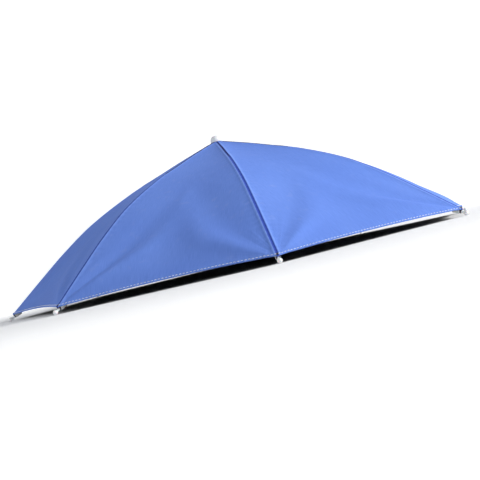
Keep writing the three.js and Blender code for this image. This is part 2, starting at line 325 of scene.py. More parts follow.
def buildWeave(tree, inputs):
    # Plain weave: warp and weft threads take turns on top, each a round hump across its width.
    # Slubs thicken a thread here and there.
    split = node(tree, "SeparateXYZ", {"Vector": inputs["Vector"]})
    x, y = (calculate(tree, "DIVIDE", split.outputs[k], inputs["Pitch"]) for k in ("X", "Y"))
    humpX, humpY = (calculate(tree, "ABSOLUTE", calculate(tree, "SINE", product(tree, place, math.pi)))
                    for place in (x, y))
    cells = total(tree, calculate(tree, "FLOOR", x), calculate(tree, "FLOOR", y))
    warpOnTop = calculate(tree, "PINGPONG", cells, 1.0)
    warp = product(tree, humpX, warpOnTop)
    weft = product(tree, humpY, calculate(tree, "SUBTRACT", 1.0, warpOnTop))
    stretched = node(tree, "CombineXYZ", {"X": product(tree, x, 0.9), "Y": product(tree, y, 0.03)})
    slub = noise(tree, stretched.outputs[0], 1.0, 2.0)
    height = product(tree, total(tree, warp, weft), mapped(tree, slub, 0.3, 0.7, 0.75, 1.15))
    return {"Height": height, "Slub": slub}


def buildRuns(tree, inputs):
    # Soft blotches of two sizes, such as handling and dust leave
    large = noise(tree, inputs["Vector"], inputs["Scale"], 3.0, Roughness=0.55)
    fine = noise(tree, inputs["Vector"], product(tree, inputs["Scale"], 11.0), 4.0)
    soft = mapped(tree, large, 0.35, 0.7, smooth=True)
    specks = mapped(tree, fine, 0.56, 0.74, smooth=True)
    dust = product(tree, specks, mapped(tree, soft, 0, 1, 0.25, 1.0))
    return {"Tone": soft, "Dust": product(tree, dust, inputs["Amount"])}


def buildGrain(tree, inputs):
    # Moulded surface: a fine spark grain over slow flow waves
    spark = noise(tree, inputs["Vector"], inputs["Grain"], 3.0)
    flow = noise(tree, inputs["Vector"], 90.0, 1.0)
    height = total(tree, product(tree, spark, inputs["Depth"]), product(tree, flow, inputs["Flow Depth"]))
    return {"Height": height, "Shine": mapped(tree, flow, 0.3, 0.7)}


weaveGroup = shaderGroup("plainWeave", {"Vector": ("Vector", None), "Pitch": ("Float", 0.0004)},
                         {"Height": "Float", "Slub": "Float"}, buildWeave)
runsGroup = shaderGroup("handlingMarks", {"Vector": ("Vector", None), "Scale": ("Float", 12.0),
                                          "Amount": ("Float", 0.3)},
                        {"Tone": "Float", "Dust": "Float"}, buildRuns)
grainGroup = shaderGroup("mouldedGrain", {"Vector": ("Vector", None), "Grain": ("Float", 2500.0),
                                          "Depth": ("Float", 0.00001),
                                          "Flow Depth": ("Float", 0.00004)},
                         {"Height": "Float", "Shine": "Float"}, buildGrain)


def newMaterial(name, finish):
    # An empty material: its tree, its Principled shader and the object's coordinates
    material = bpy.data.materials.new(name)
    material.use_nodes = True
    tree = material.node_tree
    shader = next(n for n in tree.nodes if n.type == "BSDF_PRINCIPLED")
    for label, value in finish.items():
        shader.inputs[label].default_value = value
    material.diffuse_color = (*shader.inputs["Base Color"].default_value[:3], 1)
    return material, tree, shader, node(tree, "TexCoord").outputs


def finishShader(tree, shader, colour, roughness, height):
    bump = node(tree, "Bump", {"Height": height, "Strength": 1.0, "Distance": 1.0})
    wire(tree, shader.inputs["Base Color"], colour)
    wire(tree, shader.inputs["Roughness"], roughness)
    wire(tree, shader.inputs["Normal"], bump.outputs["Normal"])


# Canopy cloth

canopyShape = {
    "reach": 0.325,  # axis to each corner
    "rise": 0.170,  # corners' level to the top of the cloth
    "start": 0.0033,  # edge of the hole for the cap's stem
    "wall": 0.001,  # room for the cloth over each rib
    "sag": 0.004,
    "hemBow": 0.006,
    "hemLift": 0.0025,
    "foldDepth": 0.0022,
    "foldWidth": 0.3,
    "foldStart": 0.45,  # share of the way down to the hem
    # share of the rise that the cloth has dropped over a rib, by share of the reach
    "ribLine": {"out": [0, 0.17, 0.26, 0.41, 0.60, 0.74, 0.86, 1],
                "drop": [0, 0.108, 0.170, 0.275, 0.447, 0.620, 0.792, 1]},
}

bandShape = {
    "side": 0.0776,  # axis to the outer face, sideways
    "front": 0.098,  # axis to the outer face, to the front and back
    "top": 0.0478,  # above the corners' level
    "width": 0.0204,
    "wall": 0.0016,
    "room": 0.0004,  # between the band and a clip
    "ribs": 12,  # lengthwise knitted ribs on each face
    "ribDepth": 0.00016,
    "edge": 0.0006,
    "steps": 300,
}

# the corners' level above the floor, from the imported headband
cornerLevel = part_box("headband")[0].z - (bandShape["top"] - bandShape["width"])


def dropAt(out):
    # Smooth cubic through the rib line's rows, its slope at a row set by the two beside it
    outs, drops = (np.array(canopyShape["ribLine"][k]) for k in ("out", "drop"))
    index = np.arange(len(outs))
    before, after = np.maximum(index - 1, 0), np.minimum(index + 1, len(outs) - 1)
    slopes = (drops[after] - drops[before]) / (outs[after] - outs[before])
    i = np.clip(np.searchsorted(outs, out) - 1, 0, len(outs) - 2)
    span = outs[i + 1] - outs[i]
    t = (out - outs[i]) / span
    rise = t * t * (3 - 2 * t)
    return (drops[i] * (1 - rise) + drops[i + 1] * rise + t * (1 - t) ** 2 * span * slopes[i]
            + t * t * (t - 1) * span * slopes[i + 1])


def clothHeight(radius):
    return canopyShape["rise"] * (1 - dropAt(np.asarray(radius) / canopyShape["reach"]))


def steepness(radius):
    step = canopyShape["reach"] / 100
    return (clothHeight(radius - step) - clothHeight(radius + step)) / (2 * step)


def upright(radius, thickness):
    return thickness * np.hypot(1, steepness(radius))


def panelSurface(u, v):
    # Outer face of one panel about its middle line: u runs from the top to the hem and v from
    # seam to seam. It hangs between the ribs with a sag, a bowed hem and a fold from each corner.
    shape = canopyShape
    radius = shape["start"] + (shape["reach"] - shape["start"]) * u
    middle = 1 - v * v
    hem = u ** 8
    x = radius * math.cos(ribTurn / 2) - shape["hemBow"] * middle * hem
    y = v * radius * math.sin(ribTurn / 2)
    foldRun = np.clip((u - shape["foldStart"]) / (1 - shape["foldStart"]), 0, 1)
    fold = np.exp(-((np.abs(v) - foldRun) / shape["foldWidth"]) ** 2) * np.sin(math.pi * foldRun)
    z = (clothHeight(radius) - shape["sag"] * middle * 4 * u * (1 - u)
         + shape["hemLift"] * middle * hem - shape["foldDepth"] * fold * middle)
    return np.stack([x, y, z + cornerLevel], -1)


clothDetail = {
    "rows": 92,  # top to hem
    "columns": 52,  # across one panel
    "hemDensity": 9,  # how much closer the rows stand at the hem
    "hemReach": 0.025,
    "seamDensity": 15,  # how much closer the columns stand at a seam
    "seamReach": 0.03,
    "thickness": 0.0005,
    "allowance": 0.0045,  # half width of the seam's turned-in strip
    "allowanceThickness": 0.0004,
    "allowanceEdge": 0.0003,  # how softly the strip ends
    "hemWidth": 0.0026,
    "hemThickness": 0.0004,
    "hemEdge": 0.00025,
    "stitchLine": 0.0019,  # from the hem's edge
    "stitchDepth": 0.00028,
    "stitchGroove": 0.0007,  # width
    "hemPuff": 0.00012,  # the turned hem stands up this much outside its stitches
    "hemPuffPlace": 0.0008,
    "seamGroove": 0.0006,
    "seamGrooveWidth": 0.0008,
    "seamLip": 0.00055,
    "seamLipPlace": 0.0026,
    "seamLipWidth": 0.0016,
    "gather": 0.0007,  # height of the gathers round a corner
    "gatherTurns": 7,
    "gatherPlace": 0.011,
    "gatherWidth": 0.008,
    "smoothTo": 0.008,  # no relief under the cap
    "smoothRun": 0.012,
}

# Folds that pull away from each corner of a panel; angles are in degrees from the seam
foldSettings = {
    "seed": 7,
    "count": 7,  # small folds at each corner
    "height": 0.0026,
    "angles": (12, 62),
    "widths": (6, 12),
    "lengths": (0.06, 0.13),
    "bends": (-2.2, 2.2),  # radians per metre
    "strengths": (0.35, 1),
    "valley": -0.6,  # a small fold is a ridge, or a valley of this strength
    "rise": 0.05,  # from the corner to where a small fold has its height
    "pullHeight": 0.0042,  # of the one long fold near the hem on each side of a corner
    "pullAngles": (43, 46),
    "pullWidth": 7,
    "pullBend": 0.5,
    "pullReach": 0.064,  # from the corner to where the long fold is highest
    "pulls": [(0.7, 0.3), (0.7, 0.6), (0.5, 0.8), (0.6, 0.5),
              (0.8, 0.6), (0.6, 0.7), (0.6, 1.3), (0.4, 0.35)],
    "fromSeam": 0.004,  # cloth beside a seam that stays straight
    "seamRun": 0.01,
    "middleShare": 0.35,  # of the panel's half width, over which the folds of two corners die out
    "hemShare": 0.25,  # of a fold's height that reaches the hem's edge
    "hemRun": 0.006,
}


def places(count, density, reach):
    # Shares from 0 to 1 that crowd towards 1: the density is 1 + density * exp(-(1 - s) / reach)
    fine = np.linspace(0, 1, 2001)
    weight = 1 + density * np.exp(-(1 - fine) / reach)
    amount = np.concatenate([[0], np.cumsum((weight[1:] + weight[:-1]) / 2)])
    return np.interp(np.linspace(0, 1, count + 1), amount / amount[-1], fine)


def cornerFolds(angle, distance):
    # Small ridges and valleys at set angles, each swelling from its corner and dying out along its
    # own length, and on each side of the corner one long ridge with a valley towards the seam.
    # angle and distance are (corners, rows, columns).
    settings = foldSettings
    chance = np.random.default_rng(settings["seed"])
    shape = (ribCount, 1, 1)
    height = np.zeros_like(distance)
    for _ in range(settings["count"]):
        side = chance.choice([-1, 1], shape)
        middle = side * np.radians(chance.uniform(*settings["angles"], shape))
        width = np.radians(chance.uniform(*settings["widths"], shape))
        length = chance.uniform(*settings["lengths"], shape)
        bend = chance.uniform(*settings["bends"], shape)
        strength = chance.uniform(*settings["strengths"], shape)
        strength *= chance.choice([settings["valley"], 1], shape)
        fade = np.minimum(distance / settings["rise"], 1) * bell(distance, 0, 1.5 * length)
        height += strength * fade * bell(angle, middle + bend * distance, width)
    height *= settings["height"]

    pulls = np.array(settings["pulls"])[:, :, None, None] * settings["pullHeight"]
    reach = distance / settings["pullReach"]
    swell = (reach * np.exp(1 - reach)) ** 2.5
    for k, side in enumerate((-1, 1)):
        middle = np.radians(chance.uniform(*settings["pullAngles"], shape))
        across = side * angle - middle + settings["pullBend"] * distance
        across /= np.radians(settings["pullWidth"])
        height += pulls[:, k] * swell * (bell(across, 0, 1) - 0.5 * bell(across, -1.9, 1))
    return height


def surfaceFrame(grid):
    # Direction down the cloth and the outward normal at each point of a ring of panels
    along = np.gradient(grid, axis=0)
    normal = np.cross(along, np.roll(grid, -1, 1) - np.roll(grid, 1, 1))
    return along, unit(normal)


def buildCanopy():
    detail = clothDetail
    rows, columns = detail["rows"], detail["columns"]
    u = places(rows, detail["hemDensity"], detail["hemReach"])[:, None]
    half = places(columns // 2, detail["seamDensity"], detail["seamReach"])
    v = np.concatenate([-half[::-1], half[1:]])[None, :]
    panel = panelSurface(u, v)
    azimuths = front + (np.arange(ribCount) + 0.5) * ribTurn
    ring = np.stack([turned(panel[:, :-1], a) for a in azimuths], 1).reshape(rows + 1, -1, 3)
    vRing = np.tile(v[:, :-1], (1, ribCount))

    # distances along the cloth: to the hem, and across to the nearest seam
    steps = np.linalg.norm(np.diff(ring, axis=0), axis=-1)
    toHem = np.concatenate([np.cumsum(steps[::-1], 0)[::-1], np.zeros((1, ring.shape[1]))])
    radius = canopyShape["start"] + (canopyShape["reach"] - canopyShape["start"]) * u
    toSeam = (1 - np.abs(vRing)) * radius * math.sin(ribTurn / 2)

    # angle and distance from the nearest corner, in plan, angle 0 along the seam
    corners = np.round((np.arctan2(ring[..., 1], ring[..., 0]) - front) / ribTurn)
    cosine, sine = np.cos(front + corners * ribTurn), np.sin(front + corners * ribTurn)
    inwards = canopyShape["reach"] - (ring[..., 0] * cosine + ring[..., 1] * sine)
    sideways = ring[..., 1] * cosine - ring[..., 0] * sine
    distance = np.hypot(inwards, sideways)
    angle = np.arctan2(sideways, np.maximum(inwards, 1e-6))
    allFolds = cornerFolds(np.broadcast_to(angle, (ribCount,) + angle.shape),
                           np.broadcast_to(distance, (ribCount,) + distance.shape))
    folds = np.take_along_axis(allFolds, corners.astype(int)[None] % ribCount, 0)[0]
    folds *= eased(np.abs(vRing) / foldSettings["middleShare"])
    folds *= 1 - (1 - foldSettings["hemShare"]) * np.exp(-toHem / foldSettings["hemRun"])
    folds += (detail["gather"] * np.cos(detail["gatherTurns"] * angle)
              * bell(distance, detail["gatherPlace"], detail["gatherWidth"]))
    folds *= np.clip((toSeam - foldSettings["fromSeam"]) / foldSettings["seamRun"], 0, 1)

    relief = (folds + detail["seamLip"] * bell(toSeam, detail["seamLipPlace"], detail["seamLipWidth"])
              - detail["seamGroove"] * bell(toSeam, 0, detail["seamGrooveWidth"])
              - detail["stitchDepth"] * bell(toHem, detail["stitchLine"], detail["stitchGroove"])
              + detail["hemPuff"] * bell(toHem, detail["hemPuffPlace"], detail["stitchGroove"]))
    fadeAtTop = np.clip((radius - detail["smoothTo"]) / detail["smoothRun"], 0, 1)
    relief *= fadeAtTop

    _, normal = surfaceFrame(ring)
    outer = ring + normal * relief[..., None]
    along, normal = surfaceFrame(outer)
    allowance = 1 / (1 + np.exp((toSeam - detail["allowance"]) / detail["allowanceEdge"]))
    turnedIn = 1 / (1 + np.exp((toHem - detail["hemWidth"]) / detail["hemEdge"]))
    thickness = (detail["thickness"] + detail["allowanceThickness"] * allowance * fadeAtTop
                 + detail["hemThickness"] * turnedIn)
    inner = outer - normal * thickness[..., None]

    # round edge at the hem, half a circle from the outer to the inner face
    edgeAngles = np.radians([45, 90, 135])[:, None, None]
    halfThickness = thickness[-1][:, None] / 2
    edge = (outer[-1] + inner[-1]) / 2 + halfThickness * (
        np.cos(edgeAngles) * normal[-1] + np.sin(edgeAngles) * unit(along[-1]))
    sheet = np.concatenate([outer, edge, inner[::-1]])

    faces, corner = gridFaces(*sheet.shape[:2], closedRows=True, closedColumns=True)
    points = sheet.reshape(-1, 3)
    uv = canopyUv(corner, panel, columns)
    if insideOut(points, faces):
        faces, uv = faces[:, ::-1], uv[:, ::-1]
    inside = (corner[:, :, 0].min(1) >= rows + 3).astype(int)
    edgeZero = np.zeros((3, ring.shape[1]))

    def bothFaces(amounts):
        return np.concatenate([amounts, edgeZero + amounts[-1], amounts[::-1]])

    values = {"seamDistance": bothFaces(toSeam), "hemDistance": bothFaces(toHem),
              "cornerDistance": bothFaces(distance), "cornerAngle": bothFaces(angle)}
    return points, faces, uv, inside, values, outer, normal, toHem


panelSpacing = 0.4  # between the panels' middle lines in the flat pattern


def canopyUv(corner, panel, columns):
    # Flat pattern of each panel, in metres: across its middle line, and along it from the top. The
    # panels lie side by side, and their inner faces 1 m further down.
    across = panel[..., 1]
    steps = np.linalg.norm(np.diff(panel, axis=0), axis=-1)
    down = np.concatenate([np.zeros((1, panel.shape[1])), np.cumsum(steps, 0)])
    edge = np.ones((3, 1))
    across = np.concatenate([across, edge * across[-1], across[::-1], across[:1]])
    down = np.concatenate([down, down[-1] + edge * clothDetail["thickness"], down[::-1] + 1, down[:1]])
    number = corner[:, :, 1].min(1, keepdims=True) // columns
    column = corner[..., 1] - number * columns
    row = corner[..., 0]
    return np.stack([across[row, column] + number * panelSpacing, down[row, column]], -1)


clothFinish = {
    "blue": (0.138, 0.252, 0.7, 1),
    "deepBlue": (0.02, 0.042, 0.34, 1),  # dark blue of thick threads, and painted shade in the seams' grooves
    # pale blue of the blotches, and of the painted highlight on the lip beside each seam
    "paleBlue": (0.22, 0.36, 0.84, 1),
    "coating": (0.0105, 0.0072, 0.029, 1),
    "coatingWorn": (0.024, 0.0175, 0.05, 1),
    "hemEdge": (0.012, 0.014, 0.13, 1),  # blue of the turned edge, seen from inside, darkened as painted shade
    "dust": (0.55, 0.58, 0.7, 1),
    "outside": {"IOR": 1.12, "Specular IOR Level": 0.25},
    "inside": {"IOR": 1.13},
    "outsideRoughness": (0.58, 0.7),
    "insideRoughness": (0.5, 0.62),
    "outsideMarks": {"scale": 9.0, "amount": 0.06},
    "insideMarks": {"scale": 12.0, "amount": 0.012},
    "unevenness": 0.2,  # how far the blue pales in blotches
    "slubs": 0.16,  # how dark the thick threads are
    "lipTone": 0.55,  # painted highlight: how pale the lip beside a seam is
    "seamTone": 0.85,  # painted shade: how dark the groove is
    "pitch": 0.00042,
    "weaveDepth": 0.00003,
    "puckerLength": 0.009,
    "puckerDepth": 0.00022,
    "puckerReach": (0.007, 0.005),  # from a seam and from the hem
    "streakDepth": 0.0006,
}


def attribute(tree, label):
    return node(tree, "Attribute", attribute_name=label, attribute_type="GEOMETRY").outputs["Fac"]


def clothRelief(tree, uv, weave):
    # Puckers along the seams and the hem, fine streaks from the corners, and the weave itself
    finish = clothFinish
    seam, hem = attribute(tree, "seamDistance"), attribute(tree, "hemDistance")
    distance, angle = attribute(tree, "cornerDistance"), attribute(tree, "cornerAngle")
    split = node(tree, "SeparateXYZ", {"Vector": uv})
    turn = product(tree, noise(tree, uv, 45.0, 2.0), 7.0)

    def pucker(place, spacing, reach, gap):
        phase = total(tree, calculate(tree, "DIVIDE", place, spacing / (2 * math.pi)), turn)
        fade = calculate(tree, "EXPONENT", calculate(tree, "DIVIDE", gap, -reach))
        return product(tree, calculate(tree, "SINE", phase), fade)

    alongSeam = pucker(split.outputs["Y"], finish["puckerLength"], finish["puckerReach"][0], seam)
    alongHem = pucker(split.outputs["X"], finish["puckerLength"] * 0.8, finish["puckerReach"][1], hem)
    fan = node(tree, "CombineXYZ", {"X": product(tree, angle, 9.0), "Y": product(tree, distance, 7.0),
                                    "Z": product(tree, split.outputs["X"], 0.5)})
    streak = calculate(tree, "SUBTRACT", noise(tree, fan.outputs[0], 1.0, 2.5), 0.5)
    reach = product(tree, mapped(tree, distance, 0.1, 0.02, smooth=True),
                    mapped(tree, distance, 0.004, 0.02, smooth=True))
    return total(tree, product(tree, total(tree, alongSeam, alongHem), finish["puckerDepth"]),
                 product(tree, product(tree, streak, reach), finish["streakDepth"]),
                 product(tree, weave, finish["weaveDepth"]))


def makeClothOutside():
    finish = clothFinish
    material, tree, shader, coords = newMaterial("clothOutside", {
        "Base Color": finish["blue"], **finish["outside"]})
    weave = grouped(tree, weaveGroup, vector=coords["UV"], pitch=finish["pitch"])
    marks = grouped(tree, runsGroup, vector=coords["Object"], **finish["outsideMarks"])
    seam = attribute(tree, "seamDistance")
    uneven = product(tree, marks["Tone"], finish["unevenness"])
    tone = mixed(tree, uneven, finish["blue"], finish["paleBlue"])
    slubs = mapped(tree, weave["Slub"], 0.35, 0.65, 0, finish["slubs"])
    threads = mixed(tree, slubs, tone, finish["deepBlue"])
    # painted highlight: the lip beside each seam is made paler, where its ridge would catch the light
    lip = mapped(tree, seam, 0.0045, 0.0028, 0, finish["lipTone"], smooth=True)
    withLipHighlight = mixed(tree, lip, threads, finish["paleBlue"])
    # painted shade: the seam's groove is darkened to deep blue, as the fold's shadow, with the seam
    # thread's own darker blue
    groove = mapped(tree, seam, 0.0022, 0.001, 0, finish["seamTone"], smooth=True)
    withGrooveShade = mixed(tree, groove, withLipHighlight, finish["deepBlue"])
    finishShader(tree, shader, mixed(tree, marks["Dust"], withGrooveShade, finish["dust"]),
                 mapped(tree, marks["Tone"], 0, 1, *finish["outsideRoughness"]),
                 clothRelief(tree, coords["UV"], weave["Height"]))
    return material


def makeClothInside():
    finish = clothFinish
    material, tree, shader, coords = newMaterial("clothInside", {
        "Base Color": finish["coating"], **finish["inside"]})
    weave = grouped(tree, weaveGroup, vector=coords["UV"], pitch=finish["pitch"])
    marks = grouped(tree, runsGroup, vector=coords["Object"], **finish["insideMarks"])
    tone = mixed(tree, marks["Tone"], finish["coating"], finish["coatingWorn"])
    dusted = mixed(tree, marks["Dust"], tone, finish["dust"])
    # painted shade: along the inner hem, the turned edge's blue is made much darker than the outer cloth
    edge = mapped(tree, attribute(tree, "hemDistance"), 0.0021, 0.0013, smooth=True)
    coatedWeave = product(tree, weave["Height"], 0.5)
    finishShader(tree, shader, mixed(tree, edge, dusted, finish["hemEdge"]),
                 mapped(tree, marks["Tone"], 0, 1, *finish["insideRoughness"]),
                 clothRelief(tree, coords["UV"], coatedWeave))
    return material


clothOutside, clothInside = makeClothOutside(), makeClothInside()
points, faces, uv, inside, values, outerFace, outerNormal, toHem = buildCanopy()
panels = [f"canopy_panel_{i + 1}" for i in range(ribCount)]
canopy = makePiece("canopy", (points, faces), [clothOutside, clothInside], panels,
                   uv, inside, values)
print("canopy made,", len(faces), "triangles")


# Hem stitches: short threads that lie in the hem's groove

stitchSettings = {
    "pitch": 0.0040,
    "length": 0.0029,
    "radius": 0.0004,
    "sides": 6,
    "sink": 0.00005,
    "thread": (0.74, 0.81, 0.97, 1),
}


def linePlaces(face, normal, fromEdge, distance):
    # Where each column of the cloth's outer face is a set distance from the hem
    below = (fromEdge > distance).sum(0)
    column = np.arange(fromEdge.shape[1])
    before, after = fromEdge[below - 1, column], fromEdge[below, column]
    share = ((before - distance) / (before - after))[:, None]
    return (face[below - 1, column] * (1 - share) + face[below, column] * share,
            normal[below - 1, column] * (1 - share) + normal[below, column] * share)


def stitchRow(line, normal, settings):
    # Evenly spaced capsules along a closed line, each bedded at its two ends
    loop = np.concatenate([line, line[:1]])
    normals = np.concatenate([normal, normal[:1]])
    lengths = lengthsAlong(loop)
    count = int(lengths[-1] / settings["pitch"])
    middles = (np.arange(count) + 0.5) * lengths[-1] / count
    half = settings["length"] / 2
    starts = readAt(np.maximum(middles - half, 0), lengths, loop)
    stops = readAt(np.minimum(middles + half, lengths[-1]), lengths, loop)
    along = unit(stops - starts)
    across = unit(np.cross(readAt(middles, lengths, normals), along))
    up = np.cross(along, across)

    # a capsule: rings along its length with a round outline, lifted most in its middle
    share = np.array([-1, -0.82, -0.4, 0, 0.4, 0.82, 1])
    girth = np.array([0.25, 0.75, 1, 1.05, 1, 0.75, 0.25]) * settings["radius"]
    lift = 0.8 * settings["radius"] * (1 - share ** 2) - settings["sink"]
    section = disc(1, settings["sides"])
    local = np.stack([np.repeat(share * half, settings["sides"]),
                      (girth[:, None] * section[:, 0]).ravel(),
                      (girth[:, None] * section[:, 1] + lift[:, None]).ravel()], -1)
    faces, _ = gridFaces(len(share), settings["sides"], closedColumns=True)
    ends = np.array([[-half, 0, lift[0]], [half, 0, lift[-1]]])
    local, faces = withFans(local, faces, len(share), settings["sides"], ends)
    axes = np.stack([along, across, up], 1)
    points = readAt(middles, lengths, loop)[:, None] + np.einsum("pk,skx->spx", local, axes)
    offsets = (np.arange(count) * len(local))[:, None, None]
    return points.reshape(-1, 3), (faces[None] + offsets).reshape(-1, 3)


threadFinish = {
    "roughness": 0.62,
    "twist": 0.00045,  # along the thread, from ply to ply
    "plyDepth": 0.00006,
}


def makeThread(name, colour):
    # Spun thread: slanting plies that show as fine stripes
    material, tree, shader, coords = newMaterial(name, {"Base Color": colour, "Sheen Weight": 0.3})
    marks = grouped(tree, runsGroup, vector=coords["Object"], scale=60.0, amount=0.0)
    plies = node(tree, "TexWave", {"Vector": coords["Object"], "Scale": 0.16 / threadFinish["twist"],
                                   "Distortion": 1.5, "Detail": 1.0}, bands_direction="DIAGONAL")
    dark = tuple(c * 0.55 for c in colour[:3]) + (1,)
    tone = mixed(tree, product(tree, marks["Tone"], 0.3), colour, dark)
    stripes = mapped(tree, plies.outputs["Fac"], 0.1, 0.9, 0, 0.5)
    finishShader(tree, shader, mixed(tree, stripes, tone, dark), threadFinish["roughness"],
                 product(tree, plies.outputs["Fac"], threadFinish["plyDepth"]))
    return material


stitchLine, stitchNormal = linePlaces(outerFace, outerNormal, toHem, clothDetail["stitchLine"])
makePiece("hem_stitches", stitchRow(stitchLine, stitchNormal, stitchSettings),
          [makeThread("hemThread", stitchSettings["thread"])])
print("hem stitches made")


# Ribs and tips

ribShape = {
    "radius": 0.0015,
    "start": 0.008,
    "room": 0.0004,  # between a rib and the cloth over it
    "endRoom": 0.0003,  # between a rib's end and its tip's bore
    "sides": 14,
    "steps": 60,
}
tipShape = {
    "bodyRadius": 0.0027,
    "bodyLength": 0.0086,
    "endWall": 0.0015,  # beyond the rib's bore
    "inset": 0.0036,  # from the corner back to the body's end
    "lift": 14,  # degrees up from the cloth's slope
    "neckRadius": 0.0014,
    "neckLength": 0.0048,
    "ballRadius": 0.0028,
    "fillet": 0.0007,
    "edge": 0.0005,
    "ballBlend": 0.0008,  # between the neck and the ball
    "sides": 40,
}
tipEnd = canopyShape["reach"] - tipShape["inset"]
tipSlope = math.atan(steepness(tipEnd)) - math.radians(tipShape["lift"])
tipBase = tipEnd - tipShape["bodyLength"] * math.cos(tipSlope)
tipBaseHeight = float(clothHeight(tipEnd) + tipShape["bodyLength"] * math.sin(tipSlope)
                      - upright(tipEnd, canopyShape["wall"] + ribShape["room"] + tipShape["bodyRadius"]))
tipOut = np.array([math.cos(tipSlope), 0, -math.sin(tipSlope)])
tipUp = np.array([math.sin(tipSlope), 0, math.cos(tipSlope)])
sideAxis = np.array([0, 1, 0])
tipBasePoint = np.array([tipBase, 0, tipBaseHeight + cornerLevel])


def ribHeight(radius):
    # Just under the cloth, then a smooth dip onto the tip's own line
    close = upright(radius, canopyShape["wall"] + ribShape["room"] + ribShape["radius"])
    dipRun = 4 * tipShape["bodyLength"]
    t = np.clip((radius - (tipBase - dipRun)) / dipRun, 0, 1)
    turn = dipRun * (math.tan(tipSlope) - steepness(tipBase))
    depth = close + (clothHeight(tipBase) - tipBaseHeight - close) * eased(t)
    return clothHeight(radius) - depth - turn * t * t * (t - 1)


def planePath(radius, height):
    # Points in the upright plane through the X axis, from the floor's level
    return np.stack([radius, np.zeros_like(radius), height + cornerLevel], -1)


def squareTo(path):
    # Direction in that plane that is square to a path in it
    along = unit(np.gradient(path, axis=0))
    return np.stack([-along[:, 2], np.zeros(len(along)), along[:, 0]], -1)


def ribShell():
    radius = np.linspace(ribShape["start"], tipBase, ribShape["steps"])
    path = planePath(radius, ribHeight(radius))
    boreDepth = tipShape["bodyLength"] - tipShape["endWall"]
    last = tipBasePoint + tipOut * (boreDepth - ribShape["endRoom"])
    path = np.concatenate([path, last[None]])
    return swept(path, sideAxis, squareTo(path), disc(ribShape["radius"], ribShape["sides"]))


def tipShell():
    # A sleeve with round edges, a filleted neck and a ball, turned about the tip's line
    shape = tipShape
    body, neck, ball = shape["bodyRadius"], shape["neckRadius"], shape["ballRadius"]
    edge, fillet, length = shape["edge"], shape["fillet"], shape["bodyLength"]
    ballCentre = length + shape["neckLength"] + ball
    onFloor = tipBasePoint[2] - ballCentre * math.sin(tipSlope)
    ball = min(ball, onFloor)
    blend = shape["ballBlend"]
    meet = math.degrees(math.acos((neck + blend) / (ball + blend)))
    centreRise = (ball + blend) * math.sin(math.radians(meet))
    profile = np.concatenate([
        [[0, 0]],
        arc((body - edge, edge), edge, -90, 0, 5),
        arc((body - edge, length - edge), edge, 0, 80, 5),
        arc((neck + fillet, length + fillet), fillet, 260, 180, 6),
        arc((neck + blend, ballCentre - centreRise), blend, 180, 180 - meet, 5),
        arc((0, ballCentre), ball, -meet, 90, 18),
    ])
    profile[-1, 0] = 0
    points, faces = revolved(profile, shape["sides"])
    placed = tipBasePoint + points @ np.stack([tipUp, sideAxis, tipOut])
    return outwards(placed, faces)


ribFinish = {
    "paint": (0.01, 0.01, 0.012, 1),
    "rubbedPaint": (0.02, 0.02, 0.023, 1),
    "bareSteel": (0.2, 0.2, 0.21, 1),  # in the small chips
    "marks": {"scale": 70.0, "amount": 0.5},
    "roughness": (0.3, 0.48),
    "peelDepth": 0.00003,
}
plasticFinish = {
    "tip": {"colour": (0.82, 0.83, 0.85, 1), "roughness": 0.3, "grainDepth": 0.000004,
            "dust": 0.06, "subsurface": 0.15},
    "cap": {"colour": (0.78, 0.79, 0.82, 1), "roughness": 0.32, "grainDepth": 0.000005,
            "dust": 0.08, "subsurface": 0.15},
    "black": {"colour": (0.011, 0.011, 0.0125, 1), "roughness": 0.42, "grainDepth": 0.000012,
              "dust": 0.05, "subsurface": 0.0},
}


def makeRibPaint():
    finish = ribFinish
    material, tree, shader, coords = newMaterial("ribPaint", {
        "Base Color": finish["paint"], "Coat Weight": 0.2, "Coat Roughness": 0.2})
    marks = grouped(tree, runsGroup, vector=coords["Object"], **finish["marks"])
    chips = mapped(tree, marks["Dust"], 0.36, 0.46)
    paint = mixed(tree, marks["Tone"], finish["paint"], finish["rubbedPaint"])
    wire(tree, shader.inputs["Metallic"], chips)
    finishShader(tree, shader, mixed(tree, chips, paint, finish["bareSteel"]),
                 mapped(tree, marks["Tone"], 0, 1, *finish["roughness"]),
                 product(tree, noise(tree, coords["Object"], 900.0, 2.0), finish["peelDepth"]))
    return material


def makePlastic(name, colour, roughness, grainDepth, dust, subsurface):
    material, tree, shader, coords = newMaterial(name, {
        "Base Color": colour, "Subsurface Weight": subsurface, "Subsurface Scale": 0.002,
        "Specular IOR Level": 0.5})
    grain = grouped(tree, grainGroup, vector=coords["Object"], grain=2600.0, depth=grainDepth)
    marks = grouped(tree, runsGroup, vector=coords["Object"], scale=55.0, amount=dust)
    worn = tuple(c * 0.82 + 0.012 for c in colour[:3]) + (1,)
    dusty = tuple(0.35 + 0.4 * c for c in colour[:3]) + (1,)
    tone = mixed(tree, product(tree, marks["Tone"], 0.6), colour, worn)
    finishShader(tree, shader, mixed(tree, marks["Dust"], tone, dusty),
                 mapped(tree, grain["Shine"], 0, 1, roughness - 0.06, roughness + 0.08),
                 grain["Height"])
    return material


ribPaint = makeRibPaint()
tipPlastic = makePlastic("tipPlastic", **plasticFinish["tip"])
ribTemplate, tipTemplate = ribShell(), tipShell()
for i in range(ribCount):
    azimuth = front + i * ribTurn
    makePiece(f"rib_wire_{i + 1}", turnedShell(ribTemplate, azimuth), [ribPaint],
              [f"rib_{i + 1}"])
    makePiece(f"ball_tip_{i + 1}", turnedShell(tipTemplate, azimuth), [tipPlastic],
              [f"rib_tip_{i + 1}"])
print("ribs and tips made")


# Corner ties: dark thread wound through each cloth corner and round its tip's neck

